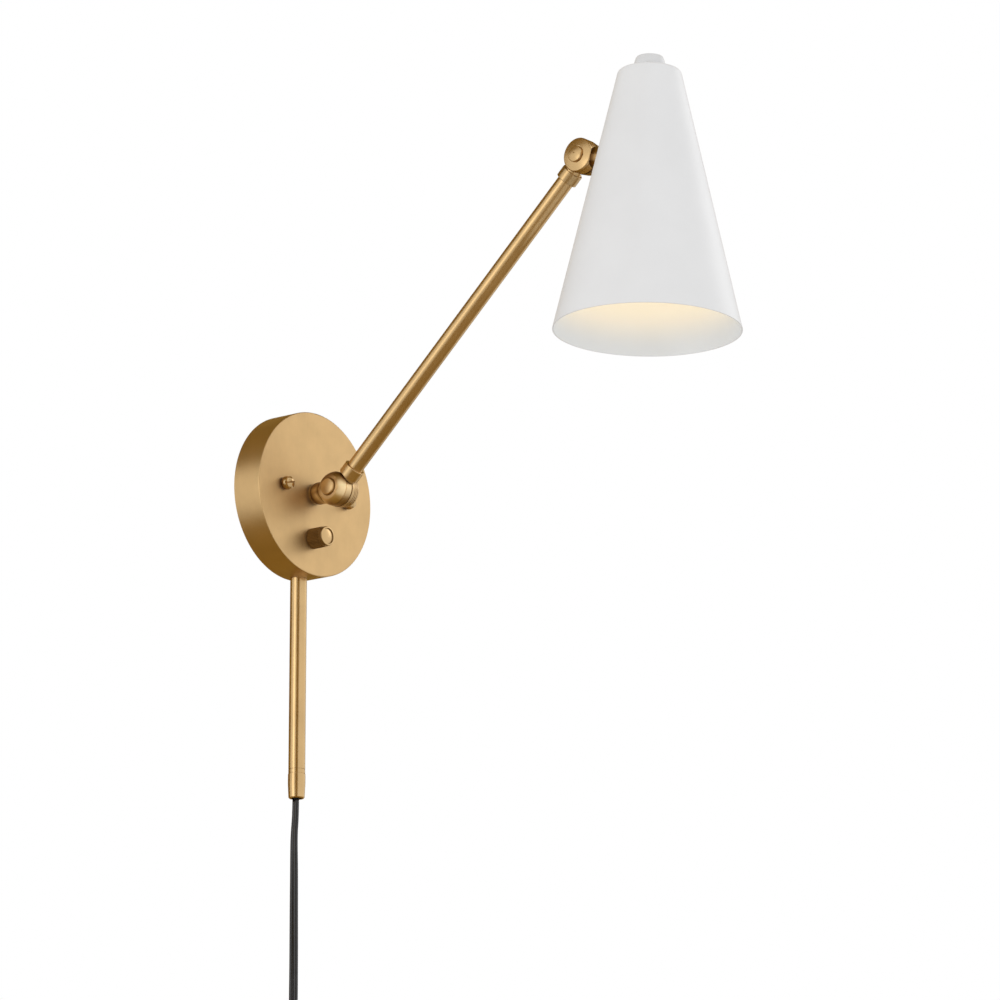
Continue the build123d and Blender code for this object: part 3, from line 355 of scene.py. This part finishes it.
def paint_light_and_shade(made, measure, stops):
    """Paints shade or light into a brass's colour by a measured length; a stop is millimetres and a share,
    under 1 painted shade and over 1 painted light.
    """
    start = min(0.0, stops[0][0])
    span = stops[-1][0] - start
    reach = made.node("ShaderNodeMapRange")
    reach.inputs["From Min"].default_value = start * MM
    reach.inputs["From Max"].default_value = (start + span) * MM
    made.link(measure, reach.inputs["Value"])
    level = made.node("ShaderNodeValToRGB")
    points = level.color_ramp.elements
    points.remove(points[1])
    for i, (length, share) in enumerate(stops):
        place = (length - start) / span
        point = points.new(place) if i else points[0]
        point.position = place
        point.color = (*(share**power for power in BROWN_POWERS), 1)
    made.link(reach.outputs["Result"], level.inputs["Fac"])
    darken(made, level.outputs["Color"])


def post_brass(name):
    """Turned brass with painted shade and painted highlights round the button, at the foot, above, below and
    by the collar.
    """
    made = turned_brass(name, gloss=POST_GLOSS)
    paint_light_and_shade(made, distance_from(made, "lower_pivot_bolt", ROUND_PIVOT), POST_SHADE_AND_LIGHT)
    paint_light_and_shade(made, distance_from(made, "lower_collar", ALL_AXES), COLLAR_SHADOW)
    paint_light_and_shade(made, height_over(made, "lower_pivot_bolt", TOP_BACK), POST_TOP)
    paint_light_and_shade(made, height_over(made, "lower_pivot_bolt", UNDER_BACK), POST_UNDER)
    return made


def screw_brass(name):
    """Glossier brass with painted shade where the screw heads meet the canopy."""
    made = satin_brass(name, SMALL_MARKS, depth=0.9, gloss=SCREW_GLOSS)
    paint_light_and_shade(made, height_over(made, "canopy", FORWARD), SCREW_SHADOW)
    return made


def head_brass(name):
    """Turned brass with painted shade where the boss meets the drum."""
    made = turned_brass(name)
    paint_light_and_shade(made, distance_from(made, "upper_pivot_bolt", ROUND_PIVOT), HEAD_SHADOW)
    return made


def painted_white(name, shade=1.0):
    """Satin white paint with the faint orange peel of powder coat."""
    made = Shader(name)
    made.set(Roughness=0.42, Coat_Weight=0.12, Coat_Roughness=0.3)
    cloud = made.noise(PAINT_CLOUD)
    made.tint(cloud, *(scaled(WHITE, stray * shade) for stray in PAINT_STRAY))
    peel = made.noise(PAINT_PEEL, detail=2)
    made.bump(peel, strength=0.12, distance=PEEL_HEIGHT)
    return made


def painted_shade():
    """White paint with the bulb's light painted on its inside as a warm glow, the stronger the nearer to the
    bulb.
    """
    made = painted_white("white_shade")
    shade_low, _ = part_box("shade")
    globe_low, globe_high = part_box("bulb_globe")
    where = made.node("ShaderNodeTexCoord")
    from_axis = made.node("ShaderNodeVectorMath", operation="SUBTRACT")
    from_axis.inputs[1].default_value = (0, (globe_low[1] + globe_high[1]) / 2, 0)
    made.link(where.outputs["Object"], from_axis.inputs[0])
    flat = made.node("ShaderNodeVectorMath", operation="MULTIPLY")
    flat.inputs[1].default_value = (1, 1, 0)
    made.link(from_axis.outputs["Vector"], flat.inputs[0])
    facing = made.node("ShaderNodeVectorMath", operation="DOT_PRODUCT")
    made.link(flat.outputs["Vector"], facing.inputs[0])
    made.link(where.outputs["Normal"], facing.inputs[1])
    inside = made.node("ShaderNodeMath", operation="LESS_THAN")
    inside.inputs[1].default_value = INSIDE_LIMIT
    made.link(facing.outputs["Value"], inside.inputs[0])
    place = made.node("ShaderNodeSeparateXYZ")
    made.link(where.outputs["Object"], place.inputs["Vector"])
    depth = made.node("ShaderNodeMapRange", interpolation_type="SMOOTHSTEP")
    depth.inputs["From Min"].default_value = shade_low[2] + GLOW_START
    depth.inputs["From Max"].default_value = shade_low[2] + GLOW_FULL
    made.link(place.outputs["Z"], depth.inputs["Value"])
    glow = made.node("ShaderNodeValToRGB")
    glow.color_ramp.elements[0].color = (*RIM_FILL, 1)
    glow.color_ramp.elements[1].color = (*scaled(WARM, GLOW), 1)
    made.link(depth.outputs["Result"], glow.inputs["Fac"])
    made.link(glow.outputs["Color"], made.bsdf.inputs["Emission Color"])
    made.link(inside.outputs["Value"], made.bsdf.inputs["Emission Strength"])
    return made.material


def plain(name, colour, roughness, metallic=0.0, grain=700, strength=0.15, vary=0.1):
    """Any other surface: a slightly uneven colour, uneven gloss and a fine grain."""
    made = Shader(name)
    made.set(Metallic=metallic, Roughness=roughness)
    cloud = made.noise(PLAIN_CLOUD)
    made.tint(cloud, scaled(colour, 1 - vary), scaled(colour, 1 + vary))
    fine = made.noise((grain, grain, grain), detail=2)
    gloss = made.between(fine, roughness - GLOSS_SPREAD, roughness + GLOSS_SPREAD)
    made.link(gloss, made.bsdf.inputs["Roughness"])
    made.bump(fine, strength, MARK_HEIGHT)
    return made.material


def lit_globe():
    """Opal bulb that is switched on."""
    made = Shader("lit_globe")
    made.set(Roughness=0.4, Emission_Color=WARM, Emission_Strength=0.5)
    cloud = made.noise(GLOBE_CLOUD)
    made.tint(cloud, OPAL_LOW, OPAL_HIGH)
    return made.material


def paint(material, *names):
    """Gives CAD nodes a material."""
    for name in names:
        slots = nodes[name].data.materials
        slots.clear()
        slots.append(material)


paint(canopy_brass("brass_canopy").material, "canopy")
paint(turned_brass("brass_turned").material,
      "upper_arm_knuckle", "lower_cap_nut", "upper_pivot_bolt", "upper_cap_nut")
# The lower knuckle's half is a darker copy of the turned brass and its button a lighter one: painted shade
# and painted light.
paint(turned_brass("brass_half", depth=0.92, gloss=POST_GLOSS).material, "lower_arm_knuckle")
paint(turned_brass("brass_button", depth=1.1, gloss=POST_GLOSS).material, "lower_pivot_bolt")
paint(screw_brass("brass_screw").material, "canopy_screws")
paint(post_brass("brass_post").material, "post_knuckle")
paint(head_brass("brass_head").material, "head_knuckle")
paint(satin_brass("brass_arm", ARM_MARKS, ARM_TURN, gloss=ARM_GLOSS, brush=FINE_BRUSH).material,
      "arm_tube", "lower_collar")
# The upper collar is a darker copy of the arm's brass: painted shade.
shaded_collar_brass = satin_brass("brass_collar", ARM_MARKS, ARM_TURN, depth=0.82,
                          gloss=TURNED_GLOSS, brush=FINE_BRUSH)
paint(shaded_collar_brass.material, "upper_collar")
paint(satin_brass("brass_drop", DROP_MARKS, gloss=DROP_GLOSS).material, "cord_tube", "cord_ferrule")
# The small brass parts are a darker copy of the satin brass: painted shade.
paint(satin_brass("brass_small", SMALL_MARKS, depth=0.7).material,
      "dimmer_shaft", "swivel_pipe", "swivel_washer", "swivel_nut", "swivel_bush",
      "lower_friction_ring", "upper_friction_ring")
paint(knurled_brass("brass_knob").material, "dimmer_knob")
paint(painted_shade(), "shade")
paint(painted_white("white_cap", shade=0.9).material, "shade_cap")
paint(plain("zinc_steel", ZINC, 0.35, metallic=1.0),
      "wall_plate", "saddle_washer", "shade_nut", "head_pipe", "holder_pipe", "holder_nut",
      "drop_pipe", "drop_nut", "dimmer_bush", "dimmer_nut")
black_pvc = plain("black_pvc", BLACK, 0.26, grain=1200, vary=0.2)
paint(black_pvc, "cord_in_tube", "plug_body")
paint(plain("tie_fabric", FABRIC, 0.8, grain=2500, strength=0.6), "cord_tie")
paint(plain("lead_sleeve", SLEEVE, 0.6), "arm_lead", "post_lead", "head_lead")
paint(plain("nylon", NYLON, 0.5), "cord_bush")
paint(plain("shell_brass", PLAIN_BRASS, 0.3, metallic=1.0),
      "holder_cap", "screw_shell", "centre_contact", "plug_blades")
paint(plain("phenolic", PHENOLIC, 0.3), "holder_body", "dimmer_case")
paint(plain("bulb_nickel", NICKEL, 0.3, metallic=1.0), "bulb_base")
paint(lit_globe(), "bulb_globe")


def cord_route():
    """Control points of the cord's line: the free run, the coil's turns and the way out to the plug."""
    route = [Vector((x, 0, z)) for x, z in [CORD_EXIT] + CORD_POINTS + COIL_LEAD]
    half = COIL_TURN / 2
    for i in range(COIL_STEPS + 1):
        angle = COIL_TURN * i / COIL_STEPS
        r = COIL_OUTER_R - COIL_PITCH * (half - abs(angle - half)) / 360
        climb = min(max((angle - half + 90) / 180, 0), 1)
        y = -COIL_LAYER * climb * climb * (3 - 2 * climb)
        around = radians(COIL_START + angle)
        route.append(Vector((COIL_X + r * sin(around), y, COIL_Z + r * cos(around))))
    out = Vector((cos(radians(COIL_EXIT_ANGLE)), 0, -sin(radians(COIL_EXIT_ANGLE))))
    route.append(route[-1] + out * COIL_EXIT_KNEE)
    route.append(route[-1] + Vector((0, 0, -COIL_EXIT_DROP)))
    return [p * MM + Vector((0, CORD_Y, 0)) for p in route]


def smooth_line(points):
    """Points along the NURBS spline that has these control points."""
    curve = bpy.data.curves.new("cord_line", "CURVE")
    curve.dimensions = "3D"
    curve.resolution_u = CORD_RESOLUTION
    spline = curve.splines.new("NURBS")
    spline.points.add(len(points) - 1)
    for slot, point in zip(spline.points, points):
        slot.co = (*point, 1)
    spline.order_u = 3
    spline.use_endpoint_u = True
    holder = bpy.data.objects.new("cord_line", curve)
    bpy.context.scene.collection.objects.link(holder)
    mesh = bpy.data.meshes.new_from_object(holder.evaluated_get(bpy.context.evaluated_depsgraph_get()))
    line = [v.co.copy() for v in mesh.vertices]
    bpy.data.objects.remove(holder)
    bpy.data.curves.remove(curve)
    bpy.data.meshes.remove(mesh)
    return line


def wide_angle(run):
    """Which way the cord's wide side points after that many millimetres."""
    for (start, low), (end, high) in zip(CORD_TURNS, CORD_TURNS[1:]):
        if run <= end:
            return radians(low + (high - low) * max(run - start, 0) / (end - start))
    return radians(CORD_TURNS[-1][1])


def twin_outline():
    """Outline of the flat twin: two round wires side by side with a shallow valley between them."""
    r = CORD_THICK / 2
    offset = CORD_WIDTH / 2 - r
    points = []
    for side in (1, -1):
        for i in range(WIRE_POINTS):
            turn = radians(-WIRE_TURN + 2 * WIRE_TURN * i / (WIRE_POINTS - 1))
            points.append((side * (offset + r * cos(turn)), side * r * sin(turn)))
    return points


def flat_cord(line):
    """Mesh of the twin cord along a line, turned as the picture shows."""
    mesh = bmesh.new()
    outline = twin_outline()
    rings = []
    run = 0.0
    for i, point in enumerate(line):
        ahead = line[min(i + 1, len(line) - 1)] - line[max(i - 1, 0)]
        ahead.normalize()
        if i:
            run += (point - line[i - 1]).length / MM
        turn = wide_angle(run)
        wide = Vector((cos(turn), sin(turn), 0))
        wide = (wide - ahead * wide.dot(ahead)).normalized()
        thin = ahead.cross(wide)
        rings.append([mesh.verts.new(point + wide * u + thin * v) for u, v in outline])
    size = len(outline)
    for low, high in zip(rings, rings[1:]):
        for k in range(size):
            mesh.faces.new((low[k], low[(k + 1) % size], high[(k + 1) % size], high[k]))
    mesh.faces.new(list(reversed(rings[0])))
    mesh.faces.new(rings[-1])
    bmesh.ops.recalc_face_normals(mesh, faces=mesh.faces)
    data = bpy.data.meshes.new("flat_cord")
    mesh.to_mesh(data)
    mesh.free()
    data.shade_smooth()
    piece = bpy.data.objects.new("flat_cord", data)
    bpy.context.scene.collection.objects.link(piece)
    return piece


cord_line = smooth_line(cord_route())
cord = flat_cord(cord_line)
cord.data.materials.append(black_pvc)
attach(cord, "base")
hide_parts("cord", "cord_coil")


def area_lamp(name, place, target, size, energy):
    """A soft white square lamp that faces a point."""
    light = bpy.data.lights.new(name, "AREA")
    light.size = size
    light.energy = energy
    lamp = bpy.data.objects.new(name, light)
    lamp.location = place
    lamp.rotation_euler = (Vector(target) - Vector(place)).to_track_quat("-Z", "Y").to_euler()
    bpy.context.scene.collection.objects.link(lamp)


def studio_world(ambient):
    """White where it is seen or reflected, a plain soft light elsewhere."""
    world = bpy.data.worlds.new("studio")
    world.use_nodes = True
    tree = world.node_tree
    background = tree.nodes["Background"]
    path = tree.nodes.new("ShaderNodeLightPath")
    seen = path.outputs["Is Camera Ray"]
    for ray in ("Is Glossy Ray", "Is Transmission Ray"):
        either = tree.nodes.new("ShaderNodeMath")
        either.operation = "MAXIMUM"
        tree.links.new(seen, either.inputs[0])
        tree.links.new(path.outputs[ray], either.inputs[1])
        seen = either.outputs[0]
    level = tree.nodes.new("ShaderNodeMapRange")
    level.inputs["To Min"].default_value = ambient
    level.inputs["To Max"].default_value = 1.0
    tree.links.new(seen, level.inputs["Value"])
    tree.links.new(level.outputs["Result"], background.inputs["Strength"])
    background.inputs["Color"].default_value = (1, 1, 1, 1)
    bpy.context.scene.world = world


def board(name, half_size, colour, material):
    """A level matt square at the origin."""
    mesh = bmesh.new()
    bmesh.ops.create_grid(mesh, x_segments=1, y_segments=1, size=half_size)
    data = bpy.data.meshes.new(name)
    mesh.to_mesh(data)
    mesh.free()
    surface = Shader(material)
    surface.set(Base_Color=colour, Roughness=MATT)
    data.materials.append(surface.material)
    made = bpy.data.objects.new(name, data)
    bpy.context.scene.collection.objects.link(made)
    return made


def studio_floor(height, half_size):
    """A pale floor, well below the sconce."""
    floor = board("floor", half_size, FLOOR_GREY, "floor_paint")
    floor.location = (0, 0, height)


def card(name, place, facing, size):
    """A dark brown studio card that only reflections see, for the darker sides of the metal."""
    made = board(name, size / 2, CARD_BROWN, name)
    made.location = place
    made.rotation_euler = Vector(facing).to_track_quat("Z", "Y").to_euler()
    made.visible_camera = False
    made.visible_diffuse = False
    made.visible_shadow = False


studio_world(AMBIENT)
studio_floor(FLOOR_HEIGHT, FLOOR_HALF)
for lamp in LAMPS:
    area_lamp(*lamp)
for sheet in CARDS:
    card(*sheet)

camera_data = bpy.data.cameras.new("camera")
camera_data.lens = CAMERA_LENS
camera_data.sensor_width = SENSOR
camera_data.clip_end = CAMERA_REACH
camera = bpy.data.objects.new("camera", camera_data)
right = Vector((cos(CAMERA_AZIMUTH), sin(CAMERA_AZIMUTH), 0))
level = cos(CAMERA_PITCH)
ahead = Vector((-sin(CAMERA_AZIMUTH) * level, cos(CAMERA_AZIMUTH) * level, sin(CAMERA_PITCH)))
turned = Matrix((right, right.cross(ahead), -ahead)).transposed()
camera.matrix_world = Matrix.Translation(CAMERA_PLACE) @ turned.to_4x4()
bpy.context.scene.collection.objects.link(camera)
bpy.context.scene.camera = camera
bpy.context.scene.view_settings.view_transform = "Standard"
